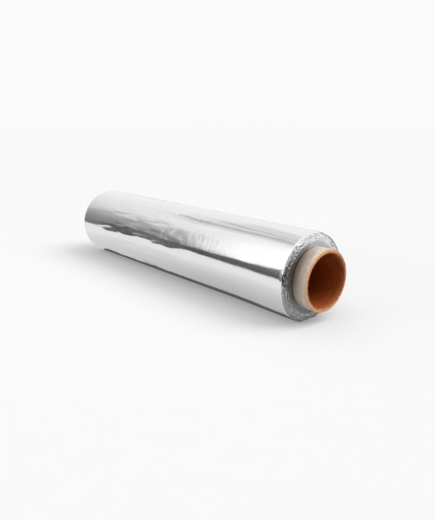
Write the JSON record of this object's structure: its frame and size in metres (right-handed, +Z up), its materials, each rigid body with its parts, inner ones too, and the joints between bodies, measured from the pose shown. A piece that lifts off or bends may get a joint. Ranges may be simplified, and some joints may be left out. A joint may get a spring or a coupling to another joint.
{
  "type": "aluminium foil roll",
  "caption": "Roll of aluminium foil wound on a paperboard core that stands out at both ends, lying on its side on a small flat spot, for a kitchen dispenser or by hand.",
  "frame": {"origin": "on the table under the middle of the roll, in the middle of the flat spot it lies on", "axes": "+X along the roll's axis towards the end that the picture shows, +Z up"},
  "size_m": [0.327, 0.0702, 0.0689],
  "materials": {
    "foil": "bright rolled foil, lightly creased",
    "paperboard": "brown board with a white outer ply and a bare cut edge"
  },
  "bodies": {
    "root": {"foil_winding": "foil", "cardboard_core": "paperboard"}
  },
  "joints": []
}
